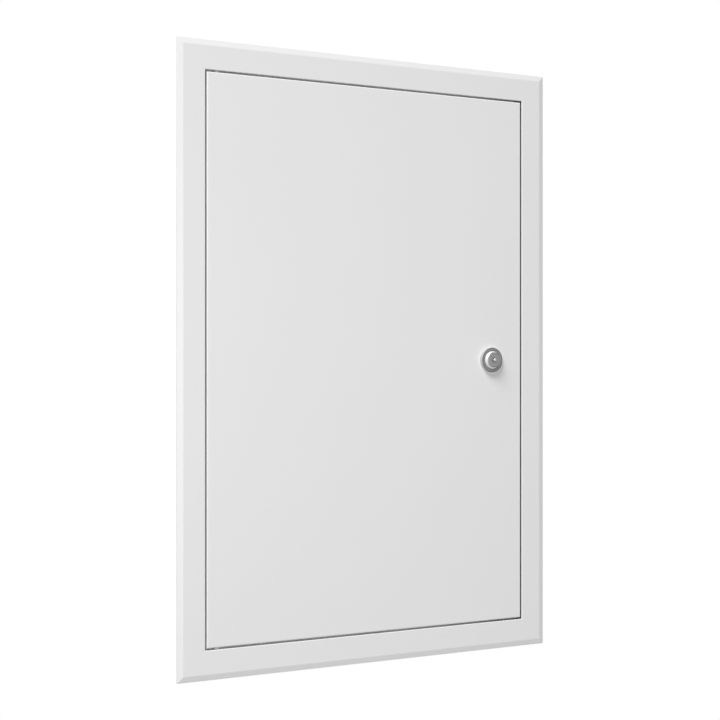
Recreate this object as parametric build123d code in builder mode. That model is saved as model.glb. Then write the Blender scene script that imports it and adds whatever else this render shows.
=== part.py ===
"""Flush steel access panel: a bevelled picture-frame trim with a folded liner behind it,
a tray-shaped door on two hidden pivot pins, and a round cam lock.

Millimetres. X runs to the lock side, Y into the wall, Z up. The wall's surface is y = 0
and the origin lies in the middle of the bottom liner's seat on the wall.
"""
import os

from build123d import *

# Door, the gap round it and the sheet that everything is folded from
door_width = 300.0
door_height = 450.0
shadow_gap = 1.5
sheet = 1.0

# Trim: flat face with an outer lip bent back to the wall
trim_width = 23.5
bevel_width = 4.7
bevel_bend = 4.0
trim_edge_round = 0.6
lip_edge_round = 0.3

# Liner behind the trim
seat_start = 5.5
liner_setback = 6.0
liner_depth = 35.0
liner_back_lip = 10.0
bend_outside = 1.2
bend_inside = 0.2
screw_hole_radius = 2.5
screw_hole_depth = 29.0
screw_hole_rise = 150.0

# Door tray
door_depth = 16.0
door_back_lip = 10.0
door_edge_round = 1.0

# Strike angle on the lock side
strike_clearance = 0.3
strike_reach = 15.5
strike_leg = 10.0

# Hinge pins and their blocks in the door
pivot_inset = 9.5
pivot_setback = 5.0
pin_radius = 2.5
pin_clearance = 0.1
pin_collar_radius = 3.8
pin_collar_height = 2.0
pin_chamfer = 0.6
bore_depth = 11.0
pin_end_gap = 0.3
block_width = 18.0
block_height = 14.0

# Lock, with heights measured forwards from the door's face
lock_inset = 32.0
ring_radius = 10.75
ring_height = 3.4
ring_round = 0.8
groove_width = 0.5
groove_depth = 0.5
groove_edge_round = 0.35
boss_base_radius = 7.7
boss_top_radius = 6.5
boss_top_round = 0.12
boss_height = 6.1
barrel_radius = 9.0
barrel_flat = 8.0
barrel_length = 22.3
lock_fit = 0.1
plug_radius = 6.0
plug_height = 6.0
plug_edge_round = 0.2
plug_shoulder = 1.0
stem_radius = 5.0
recess_radius = 2.3
recess_depth = 1.0
post_side = 2.5
post_proud = 1.5
post_edge_chamfer = 0.25
washer_thickness = 0.8
washer_radius = 12.5
nut_across_flats = 22.0
nut_thickness = 5.0
nut_corner_drop = 0.9

# Cam on the plug's square end
cam_gap = 0.2
cam_thickness = 2.5
cam_reach = 33.0
cam_hub_radius = 9.0
cam_tip_radius = 6.0
square_end = 7.0
square_fit = 0.1
square_end_short = 0.2
cam_washer_radius = 6.0
screw_radius = 2.0
screw_length = 10.0
screw_head_radius = 4.5
screw_head_height = 2.5
screw_head_round = 1.2
screw_fit = 0.05
screw_hole_spare = 1.0
cross_length = 4.8
cross_width = 1.1
cross_depth = 1.4

# Places that follow from the sizes above
face_y = -2 * sheet
overall_width = door_width + 2 * (shadow_gap + trim_width)
overall_height = door_height + 2 * (shadow_gap + trim_width)
liner_inner = trim_width - liner_setback
liner_outer = liner_inner - sheet
seat_middle = (seat_start + liner_outer) / 2
centre_z = overall_height / 2 - seat_middle
door_back_y = face_y + door_depth
pivot_x = -door_width / 2 + pivot_inset
pivot_y = face_y + pivot_setback
lock_x = door_width / 2 - lock_inset
cam_y = face_y + barrel_length + cam_gap
cam_back_y = cam_y + cam_thickness
skin_back_y = face_y + sheet

# Each side of the frame: middle of its outer edge, the way inwards, the way along it, its length
sides = {
    "top": (Vector(0, 0, centre_z + overall_height / 2), Vector(0, 0, -1), Vector(1, 0, 0), overall_width),
    "bottom": (Vector(0, 0, centre_z - overall_height / 2), Vector(0, 0, 1), Vector(-1, 0, 0), overall_width),
    "hinge_side": (Vector(-overall_width / 2, 0, centre_z), Vector(1, 0, 0), Vector(0, 0, 1), overall_height),
    "lock_side": (Vector(overall_width / 2, 0, centre_z), Vector(-1, 0, 0), Vector(0, 0, -1), overall_height),
}

# Trim section, inwards from the outer edge and into the wall, with the round of each corner
trim_section = [
    ((0, 0), 0),
    ((0, -sheet), lip_edge_round),
    ((bevel_width, face_y), bevel_bend),
    ((trim_width, face_y), trim_edge_round),
    ((trim_width, -sheet), 0),
    ((bevel_width, -sheet), bevel_bend),
]

# Liner section: seat behind the trim, wall of the box, lip at the back
liner_section = [
    ((seat_start, -sheet), 0),
    ((liner_inner, -sheet), bend_outside),
    ((liner_inner, liner_depth - sheet), bend_inside),
    ((liner_inner + liner_back_lip, liner_depth - sheet), 0),
    ((liner_inner + liner_back_lip, liner_depth), 0),
    ((liner_outer, liner_depth), bend_outside),
    ((liner_outer, 0), bend_inside),
    ((seat_start, 0), 0),
]


def rounded_face(corners):
    """Face of the open sketch through the corners, each given as a point and its round."""
    points = [corner[0] for corner in corners]
    rounds = [corner[1] for corner in corners]
    with BuildLine(mode=Mode.PRIVATE) as outline:
        FilletPolyline(*points, radius=rounds, close=True)
    make_face(outline.edges())


def mitred_strip(side, section):
    """One side of the frame: a sheet section run along the side and cut at 45 degrees at both ends."""
    middle, inwards, along, length = sides[side]
    with BuildPart() as strip:
        with BuildSketch(Plane(origin=middle, x_dir=inwards, z_dir=along)):
            rounded_face(section)
        extrude(amount=length / 2, both=True)
        for end in (-1, 1):
            mitre = Plane(origin=middle + along * (end * length / 2), z_dir=along * end + inwards)
            split(bisect_by=mitre, keep=Keep.BOTTOM)
    return strip.part


def turned(outline, axis_plane, axis):
    """A round piece: an outline of radius and height, with its rounds, turned about the axis."""
    with BuildPart() as round_piece:
        with BuildSketch(axis_plane):
            rounded_face(outline)
        revolve(axis=axis)
    return round_piece.part


def save(piece, label):
    piece.label = label
    export_step(piece, f"parts/{label}.step")


def lock_plane(depth):
    """Plane across the lock's axis, seen from the front."""
    return Plane(origin=(lock_x, depth, centre_z), x_dir=(1, 0, 0), z_dir=(0, -1, 0))


os.makedirs("parts", exist_ok=True)

# Trim
for side in sides:
    save(mitred_strip(side, trim_section), f"trim_{side}")

# Liners: the upright ones have screw holes, the others a hole for the hinge pin
for side in ("hinge_side", "lock_side"):
    with BuildPart() as liner:
        add(mitred_strip(side, liner_section))
        with BuildSketch(Plane(origin=(0, screw_hole_depth, centre_z), x_dir=(0, 1, 0), z_dir=(1, 0, 0))):
            with GridLocations(0, 2 * screw_hole_rise, 1, 2):
                Circle(screw_hole_radius)
        reach = -overall_width / 2 if side == "hinge_side" else overall_width / 2
        extrude(amount=reach, mode=Mode.SUBTRACT)
    save(liner.part, f"liner_{side}")

for side in ("top", "bottom"):
    with BuildPart() as liner:
        add(mitred_strip(side, liner_section))
        with BuildSketch(Plane(origin=(pivot_x, pivot_y, centre_z), x_dir=(1, 0, 0), z_dir=(0, 0, 1))):
            Circle(pin_radius + pin_clearance / 2)
        reach = overall_height / 2 if side == "top" else -overall_height / 2
        extrude(amount=reach, mode=Mode.SUBTRACT)
    save(liner.part, f"liner_{side}")

# Strike angle, welded to the lock-side liner between the top and bottom liners
strike_outer = overall_width / 2 - liner_inner
strike_front = door_back_y + strike_clearance
strike_height = overall_height - 2 * liner_inner
strike_section = [
    ((strike_outer, strike_front), bend_outside),
    ((strike_outer - strike_reach, strike_front), 0),
    ((strike_outer - strike_reach, strike_front + sheet), 0),
    ((strike_outer - sheet, strike_front + sheet), bend_inside),
    ((strike_outer - sheet, strike_front + strike_leg), 0),
    ((strike_outer, strike_front + strike_leg), 0),
]
with BuildPart() as strike_angle:
    with BuildSketch(Plane(origin=(0, 0, centre_z), x_dir=(1, 0, 0), z_dir=(0, 0, 1))):
        rounded_face(strike_section)
    extrude(amount=strike_height / 2, both=True)
save(strike_angle.part, "strike_angle")

# Door leaf: a tray of sheet with its edges folded back and in again
with BuildPart() as door_leaf:
    with BuildSketch(Plane(origin=(0, face_y, centre_z), x_dir=(1, 0, 0), z_dir=(0, -1, 0))):
        Rectangle(door_width, door_height)
    extrude(amount=-door_depth)
    fillet(door_leaf.faces().sort_by(Axis.Y)[0].edges(), door_edge_round)
    with BuildSketch(Plane(origin=(0, skin_back_y, centre_z), x_dir=(1, 0, 0), z_dir=(0, -1, 0))):
        Rectangle(door_width - 2 * sheet, door_height - 2 * sheet)
    extrude(amount=-(door_depth - 2 * sheet), mode=Mode.SUBTRACT)
    with BuildSketch(Plane(origin=(0, door_back_y, centre_z), x_dir=(1, 0, 0), z_dir=(0, -1, 0))):
        Rectangle(door_width - 2 * door_back_lip, door_height - 2 * door_back_lip)
    extrude(amount=sheet, mode=Mode.SUBTRACT)
    with BuildSketch(Plane(origin=(pivot_x, pivot_y, centre_z), x_dir=(1, 0, 0), z_dir=(0, 0, 1))):
        Circle(pin_radius + pin_clearance)
    extrude(amount=door_height / 2, both=True, mode=Mode.SUBTRACT)
    with BuildSketch(lock_plane(face_y)):
        Circle(barrel_radius + lock_fit)
        Rectangle(4 * barrel_radius, 2 * (barrel_flat + lock_fit), mode=Mode.INTERSECT)
    extrude(amount=-sheet, mode=Mode.SUBTRACT)
save(door_leaf.part, "door_leaf")

# Hinge pins and the blocks that turn on them, top and bottom
pin_root = overall_height / 2 - liner_outer
collar_seat = pin_root - sheet
pin_tip = door_height / 2 - bore_depth + pin_end_gap
pin_outline = [
    ((0, pin_root), 0),
    ((pin_radius, pin_root), 0),
    ((pin_radius, collar_seat), 0),
    ((pin_collar_radius, collar_seat), 0),
    ((pin_collar_radius, collar_seat - pin_collar_height), 0),
    ((pin_radius, collar_seat - pin_collar_height), 0),
    ((pin_radius, pin_tip + pin_chamfer), 0),
    ((pin_radius - pin_chamfer, pin_tip), 0),
    ((0, pin_tip), 0),
]
pivot_axis = Axis((pivot_x, pivot_y, 0), (0, 0, 1))
block_end = door_height / 2 - sheet
block_left = -door_width / 2 + sheet
for name, way in (("top", 1), ("bottom", -1)):
    pin_plane = Plane(origin=(pivot_x, pivot_y, centre_z), x_dir=(1, 0, 0), z_dir=(0, -way, 0))
    save(turned(pin_outline, pin_plane, pivot_axis), f"hinge_pin_{name}")
    with BuildPart() as pivot_block:
        with BuildSketch(Plane(origin=(0, 0, centre_z + way * block_end), x_dir=(1, 0, 0), z_dir=(0, 0, way))):
            with Locations((block_left + block_width / 2, way * (face_y + door_depth / 2))):
                Rectangle(block_width, door_depth - 2 * sheet)
        extrude(amount=-block_height)
        with BuildSketch(Plane(origin=(0, 0, centre_z + way * block_end), x_dir=(1, 0, 0), z_dir=(0, 0, way))):
            with Locations((pivot_x, way * pivot_y)):
                Circle(pin_radius + pin_clearance)
        extrude(amount=-(bore_depth - sheet), mode=Mode.SUBTRACT)
    save(pivot_block.part, f"pivot_block_{name}")

# Lock body: ring on the door's face, raised boss, barrel with two flats through the door
lock_section = Plane(origin=(lock_x, face_y, centre_z), x_dir=(1, 0, 0), z_dir=(0, 0, -1))
lock_axis = Axis((lock_x, 0, centre_z), (0, 1, 0))
body_outline = [
    ((plug_radius + lock_fit, boss_height), 0),
    ((boss_top_radius, boss_height), boss_top_round),
    ((boss_base_radius, ring_height - groove_depth), 0),
    ((boss_base_radius + groove_width, ring_height - groove_depth), 0),
    ((boss_base_radius + groove_width, ring_height), groove_edge_round),
    ((ring_radius, ring_height), ring_round),
    ((ring_radius, 0), 0),
    ((barrel_radius, 0), 0),
    ((barrel_radius, -barrel_length), 0),
    ((stem_radius + lock_fit, -barrel_length), 0),
    ((stem_radius + lock_fit, plug_shoulder), 0),
    ((plug_radius + lock_fit, plug_shoulder), 0),
]
with BuildPart() as lock_body:
    add(turned(body_outline, lock_section, lock_axis))
    with BuildSketch(lock_plane(face_y)):
        with Locations((0, barrel_radius + barrel_flat), (0, -barrel_radius - barrel_flat)):
            Rectangle(4 * barrel_radius, 2 * barrel_radius)
    extrude(amount=-barrel_length, mode=Mode.SUBTRACT)
save(lock_body.part, "lock_body")

# Washer and nut that hold the lock on the door
with BuildPart() as lock_washer:
    with BuildSketch(lock_plane(skin_back_y)):
        Circle(washer_radius)
        Circle(barrel_radius + lock_fit, mode=Mode.SUBTRACT)
    extrude(amount=-washer_thickness)
save(lock_washer.part, "lock_washer")

nut_seat = face_y - skin_back_y - washer_thickness
nut_corner = nut_across_flats / 3 ** 0.5
nut_outline = [
    ((0, nut_seat), 0),
    ((nut_corner, nut_seat), 0),
    ((nut_corner, nut_seat - nut_thickness + nut_corner_drop), 0),
    ((nut_across_flats / 2 - nut_corner_drop, nut_seat - nut_thickness), 0),
    ((0, nut_seat - nut_thickness), 0),
]
with BuildPart() as lock_nut:
    with BuildSketch(lock_plane(skin_back_y + washer_thickness)):
        RegularPolygon(nut_across_flats / 2, 6, major_radius=False)
    extrude(amount=-nut_thickness)
    add(turned(nut_outline, lock_section, lock_axis), mode=Mode.INTERSECT)
    with BuildSketch(lock_plane(skin_back_y + washer_thickness)):
        Circle(barrel_radius + lock_fit)
    extrude(amount=-nut_thickness, mode=Mode.SUBTRACT)
save(lock_nut.part, "lock_nut")

# Turning plug: face with a recess and a square post, stem, square end for the cam
stem_end = face_y - cam_y
plug_outline = [
    ((0, plug_height), 0),
    ((plug_radius, plug_height), plug_edge_round),
    ((plug_radius, plug_shoulder), 0),
    ((stem_radius, plug_shoulder), 0),
    ((stem_radius, stem_end), 0),
    ((0, stem_end), 0),
]
plug_face_y = face_y - plug_height
with BuildPart() as lock_plug:
    add(turned(plug_outline, lock_section, lock_axis))
    with BuildSketch(lock_plane(plug_face_y)):
        Circle(recess_radius)
    extrude(amount=-recess_depth, mode=Mode.SUBTRACT)
    with BuildSketch(lock_plane(plug_face_y + recess_depth)):
        Rectangle(post_side, post_side, rotation=45)
    extrude(amount=recess_depth + post_proud)
    chamfer(lock_plug.faces().sort_by(Axis.Y)[0].edges(), post_edge_chamfer)
    with BuildSketch(lock_plane(cam_y)):
        Rectangle(square_end, square_end)
    extrude(amount=-(cam_thickness - square_end_short))
    with BuildSketch(lock_plane(cam_back_y)):
        Circle(screw_radius + screw_fit)
    extrude(amount=screw_length + screw_hole_spare, mode=Mode.SUBTRACT)
save(lock_plug.part, "lock_plug")

# Cam, hanging down when unlocked, with its washer and screw
with BuildPart() as lock_cam:
    with BuildSketch(lock_plane(cam_y)):
        Circle(cam_hub_radius)
        with Locations((0, cam_tip_radius - cam_reach)):
            Circle(cam_tip_radius)
        make_hull()
        Rectangle(square_end + square_fit, square_end + square_fit, mode=Mode.SUBTRACT)
    extrude(amount=-cam_thickness)
save(lock_cam.part, "lock_cam")

with BuildPart() as cam_washer:
    with BuildSketch(lock_plane(cam_back_y)):
        Circle(cam_washer_radius)
        Circle(screw_radius + screw_fit, mode=Mode.SUBTRACT)
    extrude(amount=-washer_thickness)
save(cam_washer.part, "cam_washer")

screw_seat = face_y - cam_back_y - washer_thickness
screw_outline = [
    ((0, screw_seat + screw_length), 0),
    ((screw_radius, screw_seat + screw_length), 0),
    ((screw_radius, screw_seat), 0),
    ((screw_head_radius, screw_seat), 0),
    ((screw_head_radius, screw_seat - screw_head_height), screw_head_round),
    ((0, screw_seat - screw_head_height), 0),
]
with BuildPart() as cam_screw:
    add(turned(screw_outline, lock_section, lock_axis))
    with BuildSketch(lock_plane(face_y - screw_seat + screw_head_height)):
        Rectangle(cross_length, cross_width)
        Rectangle(cross_width, cross_length)
    extrude(amount=cross_depth, mode=Mode.SUBTRACT)
save(cam_screw.part, "cam_screw")
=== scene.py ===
"""White steel access panel: finishes for the CAD parts, small fastener detail, studio and camera."""
import math

import bpy
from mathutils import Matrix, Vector


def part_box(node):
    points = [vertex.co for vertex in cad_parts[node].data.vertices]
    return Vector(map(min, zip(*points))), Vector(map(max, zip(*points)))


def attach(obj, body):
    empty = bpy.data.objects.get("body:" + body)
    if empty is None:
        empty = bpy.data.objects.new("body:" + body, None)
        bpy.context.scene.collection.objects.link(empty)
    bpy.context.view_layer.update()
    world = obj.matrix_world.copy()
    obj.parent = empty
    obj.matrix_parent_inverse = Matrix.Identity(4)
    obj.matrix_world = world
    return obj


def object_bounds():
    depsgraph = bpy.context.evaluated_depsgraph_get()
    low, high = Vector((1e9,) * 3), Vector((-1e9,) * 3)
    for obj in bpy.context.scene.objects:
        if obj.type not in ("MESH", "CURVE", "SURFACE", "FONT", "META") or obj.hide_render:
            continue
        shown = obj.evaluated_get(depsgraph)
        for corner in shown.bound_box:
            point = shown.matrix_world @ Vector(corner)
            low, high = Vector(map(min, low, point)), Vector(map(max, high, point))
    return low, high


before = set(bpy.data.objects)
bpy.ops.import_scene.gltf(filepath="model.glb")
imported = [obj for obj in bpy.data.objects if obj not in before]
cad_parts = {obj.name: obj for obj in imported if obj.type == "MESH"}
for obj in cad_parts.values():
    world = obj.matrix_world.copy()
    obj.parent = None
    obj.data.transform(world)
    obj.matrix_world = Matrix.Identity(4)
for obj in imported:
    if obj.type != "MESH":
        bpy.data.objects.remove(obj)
cad_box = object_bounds()

# Lengths are in metres, and the scales of patterns are per metre

# Photograph's frame and the camera that took it
IMAGE_PX = 720
SENSOR_MM = 36.0
FOCAL_PX = 1575.0
CAMERA_YAW = math.radians(30.15)
CAMERA_DISTANCE = 1.296
AIM_LEFT_OF_MIDDLE = 0.0123

# Studio: soft ambient, a key from the upper left, a weak fill in front, a weak light high at the left for
# the bevels and a soft light behind at the right for the panel's back, all placed from the panel's middle
AMBIENT = 0.12
WHITE_BACKDROP = 1.0
BACKDROP_COLOUR = (1.0, 1.0, 1.0, 1.0)
SOFTBOXES = {
    "key_softbox": {"place": (-2.36, -1.79, 3.39), "size": 2.05, "watts": 228.0},
    "fill_softbox": {"place": (-0.05, -1.15, -0.06), "size": 0.6, "watts": 4.95},
    "side_softbox": {"place": (-1.9, -0.2, 1.4), "size": 0.7, "watts": 8.0},
    "back_softbox": {"place": (2.15, 2.4, 0.85), "size": 0.8, "watts": 33.0},
}
FLOOR_DROP = 0.7
FLOOR_HALF = 0.8
FLOOR_FADE_START = 0.35
FLOOR_WHITES = ((0.86, 0.86, 0.86), (0.88, 0.88, 0.88))
FLOOR_SPECKLE_SCALE = 60.0
FLOOR_ROUGHNESS = 0.8

# Detail of the noise in a plain pattern and in one with more steps of size
PLAIN_DETAIL = 2.0
RICH_DETAIL = 3.0

# Thickness of the sheet
SHEET = 0.001

# Powder coat: whites of its mottle, roughness range, and relief from the orange peel and the grain
COAT_WHITES = ((0.772, 0.772, 0.772), (0.788, 0.788, 0.787))
COAT_ROUGHNESS = (0.32, 0.40)
COAT_SPECULAR = 0.4
COAT_BUMP = {"Strength": 0.12, "Distance": 0.00006}
MOTTLE_SCALE = 14.0
PEEL_SCALE = 420.0
PEEL_NOISE_ROUGHNESS = 0.45
GRAIN_SCALE = 2600.0
GRAIN_IN_RELIEF = 0.25

# Zinc plate: greys of its patches, roughness range, and relief from the drawn scratches
ZINC_GREYS = ((0.50, 0.51, 0.53), (0.62, 0.63, 0.65))
ZINC_ROUGHNESS = (0.28, 0.46)
ZINC_BUMP = {"Strength": 0.2, "Distance": 0.00002}
PATCH_SCALE = 380.0
SCRATCH_SCALE = (5000.0, 900.0, 300.0)

# Lock's greys by distance from its axis, a painted reflection: dark face with a painted highlight line at
# its edge, bright slope, dark ring with a painted highlight line round its middle, bright rim. The post's
# end is a painted highlight. The slope, ring and rim are satin, and the face and the barrel behind the door
# are turned
LOCK_RING_RADIUS = 0.0110
LOCK_PAINTED_REFLECTION_BANDS = [(0.0018, 0.42), (0.0020, 0.24), (0.0060, 0.24), (0.0062, 0.36), (0.00666, 0.36),
              (0.00674, 0.74), (0.00762, 0.74), (0.00772, 0.18), (0.0085, 0.18), (0.0088, 0.28),
              (0.0091, 0.28), (0.0094, 0.165), (0.0105, 0.165), (0.01072, 0.52)]
LOCK_BLUE_TINT = 1.008
SATIN_FROM = (0.00666, 0.00674)
SATIN_ROUGHNESS = 0.75
TURNED_ROUGHNESS = (0.36, 0.46)
LOCK_BUMP = {"Strength": 0.15, "Distance": 0.00001}
MARKS_SCALE = 9000.0
WEAR_SCALE = 300.0
WEAR_SHADES = ((0.93, 0.93, 0.93), (1.07, 1.07, 1.07))
# Grey of the post's end, a painted highlight
POST_END_PAINTED_HIGHLIGHT = (0.41, 0.41, 0.415)
POST_END_DEPTH = 0.0003
BARREL_GREY = (0.60, 0.60, 0.605)

# Thread on the lock's barrel, from the nut to the barrel's end
THREAD_PITCH = 0.001
THREAD_RIDGE = 0.00035
THREAD_ARC_POINTS = 24
THREAD_RIDGE_POINTS = 4
BARREL_RADIUS = 0.009
BARREL_FLAT = 0.008

# Weld marks: beads up the corners of the liner, given by half its width and height, and spots along the
# strike angle
LINER_HALF = (0.1585, 0.2335)
BEAD_STEP = 0.0026
BEAD_SIZE = (0.0011, 0.0017, 0.0011)
BEAD_UNEVEN = (0.88, 1.12)
BEAD_SEED = 3
BEAD_SUBDIVISIONS = 2
BEAD_END_ROOM = 0.003
SPOT_COUNT = 7
SPOT_RADIUS = 0.0026
SPOT_RIDGE = 0.00022
SPOT_POINTS = 24
SPOT_RIDGE_POINTS = 6
SPOT_END_ROOM = 0.03
SPOT_FROM_EDGE = 0.005

# Quarter turns that stand a flat shape up
QUARTER_ABOUT_X = (math.pi / 2, 0.0, 0.0)
QUARTER_ABOUT_Y = (0.0, math.pi / 2, 0.0)

SIDES = ("top", "bottom", "hinge_side", "lock_side")

# Places taken from the frame
door_low, door_high = [Vector(corner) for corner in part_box("door_leaf")]
panel_middle = (door_low + door_high) / 2
face_y = door_low.y
lock_low, lock_high = [Vector(corner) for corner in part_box("lock_plug")]
lock_axis = (lock_low + lock_high) / 2


def set_input(tree, socket, value):
    """Sets an input, or links it where the value is another node's socket."""
    if isinstance(value, bpy.types.NodeSocket):
        tree.links.new(value, socket)
    else:
        socket.default_value = value


def add_node(tree, kind, settings=None, **inputs):
    """Adds a node with its properties and its inputs, whose names have _ for each space."""
    node = tree.nodes.new(kind)
    for key, value in (settings or {}).items():
        setattr(node, key, value)
    for key, value in inputs.items():
        set_input(tree, node.inputs[key.replace("_", " ")], value)
    return node


def of_type(sockets, kind):
    """Sockets of one type, on a node that has others with the same names."""
    return [socket for socket in sockets if socket.type == kind]


def calculate(tree, operation, *values):
    """Result of a maths node on numbers or sockets."""
    node = add_node(tree, "ShaderNodeMath", {"operation": operation})
    for socket, value in zip(node.inputs, values):
        set_input(tree, socket, value)
    return node.outputs["Value"]


def new_material(name):
    """Node material with one shader: the material, its tree and the shader."""
    material = bpy.data.materials.new(name)
    material.use_nodes = True
    tree = material.node_tree
    tree.nodes.clear()
    output = tree.nodes.new("ShaderNodeOutputMaterial")
    shader = tree.nodes.new("ShaderNodeBsdfPrincipled")
    tree.links.new(shader.outputs["BSDF"], output.inputs["Surface"])
    return material, tree, shader


def object_place(tree):
    """Object coordinates, so that a pattern moves with its piece."""
    return add_node(tree, "ShaderNodeTexCoord").outputs["Object"]


def ramp(tree, factor, low, high):
    """Number from low to high, each a number or a socket, as a factor goes from 0 to 1."""
    return add_node(tree, "ShaderNodeMapRange", Value=factor, To_Min=low, To_Max=high).outputs["Result"]


def ramp_from(tree, value, low, high):
    """Factor from 0 to 1 as a value goes from low to high."""
    return add_node(tree, "ShaderNodeMapRange", Value=value, From_Min=low, From_Max=high).outputs["Result"]


def noise(tree, place, scale, detail=PLAIN_DETAIL, **inputs):
    """Noise pattern, as a factor."""
    node = add_node(tree, "ShaderNodeTexNoise", Vector=place, Scale=scale, Detail=detail, **inputs)
    return node.outputs["Fac"]


def distance_from_axis(tree, across, along):
    """Distance from the point where both coordinates are 0."""
    flat = add_node(tree, "ShaderNodeCombineXYZ", X=across, Y=along)
    length = add_node(tree, "ShaderNodeVectorMath", {"operation": "LENGTH"}, Vector=flat.outputs["Vector"])
    return length.outputs["Value"]


def mix_colours(tree, factor, first, second, blend="MIX"):
    """Mix of two colours, each a socket or a red, green and blue."""
    node = add_node(tree, "ShaderNodeMix", {"data_type": "RGBA", "blend_type": blend}, Factor=factor)
    for socket, colour in zip(of_type(node.inputs, "RGBA"), (first, second)):
        linked = isinstance(colour, bpy.types.NodeSocket)
        set_input(tree, socket, colour if linked else (*colour, 1.0))
    return of_type(node.outputs, "RGBA")[0]


def set_surface(tree, shader, colour, roughness, relief, bump):
    """Links a finish's colour, roughness and fine relief to its shader."""
    normal = add_node(tree, "ShaderNodeBump", Height=relief, **bump).outputs["Normal"]
    set_input(tree, shader.inputs["Base Color"], colour)
    set_input(tree, shader.inputs["Roughness"], roughness)
    set_input(tree, shader.inputs["Normal"], normal)


def powder_coat():
    """Matt white powder coat: slight orange peel, a fine grain and a faint mottle in the white."""
    material, tree, shader = new_material("white_powder_coat")
    place = object_place(tree)
    peel = noise(tree, place, PEEL_SCALE, Roughness=PEEL_NOISE_ROUGHNESS)
    grain = noise(tree, place, GRAIN_SCALE)
    colour = mix_colours(tree, noise(tree, place, MOTTLE_SCALE, RICH_DETAIL), *COAT_WHITES)
    relief = calculate(tree, "MULTIPLY_ADD", grain, GRAIN_IN_RELIEF, peel)
    set_surface(tree, shader, colour, ramp(tree, grain, *COAT_ROUGHNESS), relief, COAT_BUMP)
    shader.inputs["Specular IOR Level"].default_value = COAT_SPECULAR
    return material


def zinc_steel():
    """Zinc-plated steel: bluish grey metal with soft crystal patches and drawn scratches."""
    material, tree, shader = new_material("zinc_plated_steel")
    place = object_place(tree)
    patches = add_node(tree, "ShaderNodeTexVoronoi", Vector=place, Scale=PATCH_SCALE)
    drawn = add_node(tree, "ShaderNodeMapping", Vector=place, Scale=SCRATCH_SCALE)
    scratches = noise(tree, drawn.outputs["Vector"], 1.0, RICH_DETAIL)
    colour = mix_colours(tree, patches.outputs["Distance"], *ZINC_GREYS)
    set_surface(tree, shader, colour, ramp(tree, scratches, *ZINC_ROUGHNESS), scratches, ZINC_BUMP)
    shader.inputs["Metallic"].default_value = 1.0
    return material


def painted_lock_reflection(tree, radius):
    """Grey of the lock's front by distance from its axis, a painted reflection with painted highlight lines.
    """
    node = add_node(tree, "ShaderNodeValToRGB", Fac=ramp_from(tree, radius, 0.0, LOCK_RING_RADIUS))
    stops = node.color_ramp.elements
    for band_radius, _ in LOCK_PAINTED_REFLECTION_BANDS[1:-1]:
        stops.new(band_radius / LOCK_RING_RADIUS)
    for stop, (band_radius, grey) in zip(stops, LOCK_PAINTED_REFLECTION_BANDS):
        stop.position = band_radius / LOCK_RING_RADIUS
        stop.color = (grey, grey, grey * LOCK_BLUE_TINT, 1.0)
    return node.outputs["Color"]


def turned_nickel():
    """Lock metal with fine turning marks round its axis, in greys by distance from it that paint its
    reflection.
    """
    material, tree, shader = new_material("turned_satin_nickel")
    to_axis = (-lock_axis.x, 0.0, -lock_axis.z)
    mapping = add_node(tree, "ShaderNodeMapping", Vector=object_place(tree), Location=to_axis)
    centred = mapping.outputs["Vector"]
    parts = add_node(tree, "ShaderNodeSeparateXYZ", Vector=centred).outputs
    radius = distance_from_axis(tree, parts["X"], parts["Z"])
    marks_at = add_node(tree, "ShaderNodeCombineXYZ", X=radius, Y=parts["Y"])
    marks = noise(tree, marks_at.outputs["Vector"], MARKS_SCALE)
    wear = noise(tree, centred, WEAR_SCALE, RICH_DETAIL)
    behind = ramp_from(tree, parts["Y"], face_y, face_y + SHEET)
    # Post's end: a painted highlight over the painted reflection of the lock's front
    post_end = ramp_from(tree, parts["Y"], lock_low.y + POST_END_DEPTH, lock_low.y)
    front = mix_colours(tree, post_end, painted_lock_reflection(tree, radius), POST_END_PAINTED_HIGHLIGHT)
    metal = mix_colours(tree, behind, front, BARREL_GREY)
    colour = mix_colours(tree, 1.0, metal, mix_colours(tree, wear, *WEAR_SHADES), "MULTIPLY")
    satin = ramp_from(tree, radius, *SATIN_FROM)
    turned_roughness = ramp(tree, marks, *TURNED_ROUGHNESS)
    front_roughness = ramp(tree, satin, turned_roughness, SATIN_ROUGHNESS)
    roughness = ramp(tree, behind, front_roughness, turned_roughness)
    set_surface(tree, shader, colour, roughness, marks, LOCK_BUMP)
    shader.inputs["Metallic"].default_value = 1.0
    return material


def dress(material, *names):
    """Gives CAD pieces their finish."""
    for name in names:
        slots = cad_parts[name].data.materials
        slots.clear()
        slots.append(material)


def repeat_tree(name, sizes):
    """Geometry Nodes tree with an input for each size; gives the tree and its input and output sockets."""
    kinds = {int: "NodeSocketInt", float: "NodeSocketFloat", tuple: "NodeSocketVector"}
    tree = bpy.data.node_groups.new(name, "GeometryNodeTree")
    tree.interface.new_socket("Geometry", in_out="OUTPUT", socket_type="NodeSocketGeometry")
    for label, size in sizes.items():
        tree.interface.new_socket(label, in_out="INPUT", socket_type=kinds[type(size)])
    return tree, tree.nodes.new("NodeGroupInput").outputs, tree.nodes.new("NodeGroupOutput").inputs


def ridge_along(tree, curve, radius, points, caps):
    """Ridge that follows a curve."""
    profile = add_node(tree, "GeometryNodeCurvePrimitiveCircle", Resolution=points, Radius=radius)
    ridge = add_node(tree, "GeometryNodeCurveToMesh", Curve=curve, Profile_Curve=profile.outputs["Curve"],
                     Fill_Caps=caps)
    return ridge.outputs["Mesh"]


def in_a_row(tree, shape, given):
    """Repeats of a shape, as many as Count, from Start on and one Step apart."""
    row = add_node(tree, "GeometryNodeMeshLine", Count=given["Count"], Start_Location=given["Start"],
                   Offset=given["Step"])
    repeats = add_node(tree, "GeometryNodeInstanceOnPoints", Points=row.outputs["Mesh"], Instance=shape)
    return repeats.outputs["Instances"]


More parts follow.
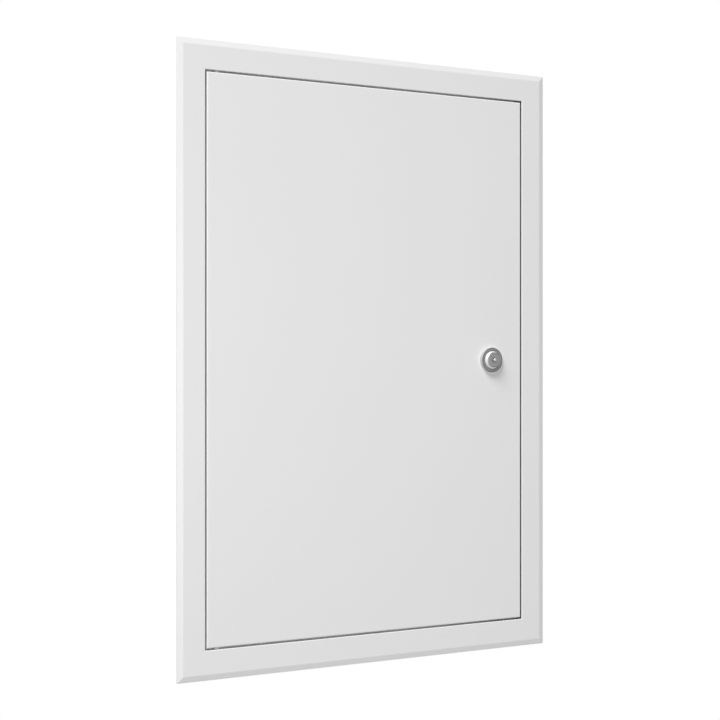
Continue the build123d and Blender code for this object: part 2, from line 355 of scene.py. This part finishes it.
def close_tree(tree, repeats, out, material, smooth):
    """Ends a tree: instances made real, shaded and given their finish."""
    solid = add_node(tree, "GeometryNodeRealizeInstances", Geometry=repeats)
    shaded = add_node(tree, "GeometryNodeSetShadeSmooth", Geometry=solid.outputs["Geometry"],
                      Shade_Smooth=smooth)
    finish = add_node(tree, "GeometryNodeSetMaterial", Geometry=shaded.outputs["Geometry"],
                      Material=material)
    tree.links.new(finish.outputs["Geometry"], out["Geometry"])


def grow(name, tree, sizes, body):
    """Runs a tree at its sizes and keeps the result as a plain mesh that rides on a body."""
    host = bpy.data.objects.new(name + "_host", bpy.data.meshes.new(name + "_host"))
    bpy.context.scene.collection.objects.link(host)
    modifier = host.modifiers.new(name, "NODES")
    modifier.node_group = tree
    for item in tree.interface.items_tree:
        if item.in_out == "INPUT":
            modifier[item.identifier] = sizes[item.name]
    graph = bpy.context.evaluated_depsgraph_get()
    mesh = bpy.data.meshes.new_from_object(host.evaluated_get(graph))
    mesh.name = name
    host.modifiers.remove(modifier)
    bpy.data.objects.remove(host)
    piece = bpy.data.objects.new(name, mesh)
    bpy.context.scene.collection.objects.link(piece)
    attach(piece, body)


def barrel_thread(material):
    """Thread ridges on the barrel's two round sides, from behind the nut to its end."""
    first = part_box("lock_nut")[1][1] + THREAD_PITCH / 2
    turns = int((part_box("lock_body")[1][1] - first) / THREAD_PITCH)
    half_angle = math.asin(BARREL_FLAT / BARREL_RADIUS)
    sizes = {"Radius": BARREL_RADIUS, "Ridge": THREAD_RIDGE, "Half Angle": half_angle, "Count": turns,
             "Start": (lock_axis.x, first, lock_axis.z), "Step": (0.0, THREAD_PITCH, 0.0)}
    tree, given, out = repeat_tree("barrel_thread", sizes)
    sweep = calculate(tree, "MULTIPLY", given["Half Angle"], 2.0)
    both_sides = add_node(tree, "GeometryNodeJoinGeometry")
    for middle in (0.0, math.pi):
        begin = calculate(tree, "SUBTRACT", middle, given["Half Angle"])
        arc = add_node(tree, "GeometryNodeCurveArc", Resolution=THREAD_ARC_POINTS, Radius=given["Radius"],
                       Start_Angle=begin, Sweep_Angle=sweep)
        tree.links.new(arc.outputs["Curve"], both_sides.inputs["Geometry"])
    ridge = ridge_along(tree, both_sides.outputs["Geometry"], given["Ridge"], THREAD_RIDGE_POINTS, True)
    upright = add_node(tree, "GeometryNodeTransform", Geometry=ridge, Rotation=QUARTER_ABOUT_X)
    close_tree(tree, in_a_row(tree, upright.outputs["Geometry"], given), out, material, False)
    grow("barrel_thread", tree, sizes, "door")


def corner_beads(material):
    """Weld beads up the four outer corners of the liner box, under the coat."""
    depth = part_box("liner_top")[1][1]
    width, height = [2 * half for half in LINER_HALF]
    beads = int((depth - 2 * BEAD_END_ROOM) / BEAD_STEP) + 1
    sizes = {"Width": width, "Height": height, "Middle": (0.0, BEAD_END_ROOM, panel_middle.z),
             "Bead": BEAD_SIZE, "Step": (0.0, BEAD_STEP, 0.0), "Beads": beads}
    tree, given, out = repeat_tree("corner_beads", sizes)
    row = add_node(tree, "GeometryNodeMeshLine", Count=given["Beads"], Offset=given["Step"])
    drop = add_node(tree, "GeometryNodeMeshIcoSphere", Radius=1.0, Subdivisions=BEAD_SUBDIVISIONS)
    uneven = add_node(tree, "FunctionNodeRandomValue", {"data_type": "FLOAT"}, Seed=BEAD_SEED)
    for socket, value in zip(of_type(uneven.inputs, "VALUE"), BEAD_UNEVEN):
        set_input(tree, socket, value)
    size = add_node(tree, "ShaderNodeVectorMath", {"operation": "SCALE"}, Vector=given["Bead"],
                    Scale=of_type(uneven.outputs, "VALUE")[0])
    bead_row = add_node(tree, "GeometryNodeInstanceOnPoints", Points=row.outputs["Mesh"],
                        Instance=drop.outputs["Mesh"], Scale=size.outputs["Vector"])
    corners = add_node(tree, "GeometryNodeMeshGrid", Size_X=given["Width"], Size_Y=given["Height"],
                       Vertices_X=2, Vertices_Y=2)
    upright = add_node(tree, "GeometryNodeTransform", Geometry=corners.outputs["Mesh"],
                       Translation=given["Middle"], Rotation=QUARTER_ABOUT_X)
    repeats = add_node(tree, "GeometryNodeInstanceOnPoints", Points=upright.outputs["Geometry"],
                       Instance=bead_row.outputs["Instances"])
    close_tree(tree, repeats.outputs["Instances"], out, material, True)
    grow("corner_beads", tree, sizes, "frame")


def strike_spots(material):
    """Spot-weld marks along the strike angle's leg, on the side that faces the opening."""
    low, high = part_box("strike_angle")
    first = low[2] + SPOT_END_ROOM
    step = (high[2] - low[2] - 2 * SPOT_END_ROOM) / (SPOT_COUNT - 1)
    sizes = {"Radius": SPOT_RADIUS, "Ridge": SPOT_RIDGE, "Count": SPOT_COUNT, "Step": (0.0, 0.0, step),
             "Start": (high[0] - SHEET, high[1] - SPOT_FROM_EDGE, first)}
    tree, given, out = repeat_tree("strike_spots", sizes)
    ring = add_node(tree, "GeometryNodeCurvePrimitiveCircle", Resolution=SPOT_POINTS, Radius=given["Radius"])
    ridge = ridge_along(tree, ring.outputs["Curve"], given["Ridge"], SPOT_RIDGE_POINTS, False)
    facing = add_node(tree, "GeometryNodeTransform", Geometry=ridge, Rotation=QUARTER_ABOUT_Y)
    close_tree(tree, in_a_row(tree, facing.outputs["Geometry"], given), out, material, True)
    grow("strike_spots", tree, sizes, "frame")


def make_camera():
    """Camera of the photograph: level, from the left, aimed beside the panel's middle."""
    forward = Vector((math.sin(CAMERA_YAW), math.cos(CAMERA_YAW), 0.0))
    aim = Vector((panel_middle.x - AIM_LEFT_OF_MIDDLE, face_y, panel_middle.z))
    data = bpy.data.cameras.new("photo_camera")
    data.sensor_width = SENSOR_MM
    data.lens = FOCAL_PX / IMAGE_PX * SENSOR_MM
    camera = bpy.data.objects.new("photo_camera", data)
    camera.location = aim - forward * CAMERA_DISTANCE
    camera.rotation_euler = forward.to_track_quat("-Z", "Y").to_euler()
    bpy.context.scene.collection.objects.link(camera)
    bpy.context.scene.camera = camera


def make_softbox(name, place, size, watts):
    """Square area light that faces the panel's middle."""
    data = bpy.data.lights.new(name, "AREA")
    data.shape = "SQUARE"
    data.size = size
    data.energy = watts
    lamp = bpy.data.objects.new(name, data)
    lamp.location = panel_middle + Vector(place)
    lamp.rotation_euler = (panel_middle - lamp.location).to_track_quat("-Z", "Y").to_euler()
    bpy.context.scene.collection.objects.link(lamp)


def seen_directly(tree):
    """1 for rays from the camera, a gloss or through glass, 0 for the rays that light the scene."""
    path = add_node(tree, "ShaderNodeLightPath").outputs
    camera_or_gloss = calculate(tree, "MAXIMUM", path["Is Camera Ray"], path["Is Glossy Ray"])
    return calculate(tree, "MAXIMUM", camera_or_gloss, path["Is Transmission Ray"])


def make_world():
    """White backdrop that lights the panel only weakly."""
    world = bpy.data.worlds.new("white_studio")
    world.use_nodes = True
    tree = world.node_tree
    tree.nodes.clear()
    output = tree.nodes.new("ShaderNodeOutputWorld")
    strength = ramp(tree, seen_directly(tree), AMBIENT, WHITE_BACKDROP)
    glow = add_node(tree, "ShaderNodeBackground", Color=BACKDROP_COLOUR, Strength=strength)
    tree.links.new(glow.outputs["Background"], output.inputs["Surface"])
    bpy.context.scene.world = world


def make_floor():
    """Pale floor below the panel, out of the photograph's frame, that fades out towards its edge."""
    low = panel_middle.z - (cad_box[1][2] - cad_box[0][2]) / 2 - FLOOR_DROP
    outline = ((-1, -1), (1, -1), (1, 1), (-1, 1))
    mesh = bpy.data.meshes.new("studio_floor")
    mesh.from_pydata([(FLOOR_HALF * x, FLOOR_HALF * y, low) for x, y in outline], [], [(0, 1, 2, 3)])
    material, tree, shader = new_material("pale_floor")
    place = object_place(tree)
    whites = mix_colours(tree, noise(tree, place, FLOOR_SPECKLE_SCALE), *FLOOR_WHITES)
    tree.links.new(whites, shader.inputs["Base Color"])
    shader.inputs["Roughness"].default_value = FLOOR_ROUGHNESS
    parts = add_node(tree, "ShaderNodeSeparateXYZ", Vector=place).outputs
    reach = distance_from_axis(tree, parts["X"], parts["Y"])
    faded = add_node(tree, "ShaderNodeMixShader", Fac=ramp_from(tree, reach, FLOOR_FADE_START, FLOOR_HALF))
    clear = add_node(tree, "ShaderNodeBsdfTransparent")
    tree.links.new(shader.outputs["BSDF"], faded.inputs[1])
    tree.links.new(clear.outputs["BSDF"], faded.inputs[2])
    tree.links.new(faded.outputs["Shader"], tree.nodes["Material Output"].inputs["Surface"])
    mesh.materials.append(material)
    floor = bpy.data.objects.new("studio_floor", mesh)
    bpy.context.scene.collection.objects.link(floor)


white = powder_coat()
zinc = zinc_steel()
nickel = turned_nickel()
dress(white, "door_leaf", "strike_angle")
dress(white, *[f"trim_{side}" for side in SIDES], *[f"liner_{side}" for side in SIDES])
dress(white, "hinge_pin_top", "hinge_pin_bottom")
dress(zinc, "pivot_block_top", "pivot_block_bottom")
dress(zinc, "lock_washer", "lock_nut", "lock_cam", "cam_washer", "cam_screw")
dress(nickel, "lock_body", "lock_plug")
barrel_thread(nickel)
corner_beads(white)
strike_spots(white)

make_camera()
for softbox, setting in SOFTBOXES.items():
    make_softbox(softbox, **setting)
make_world()
make_floor()
bpy.context.scene.view_settings.view_transform = "Standard"
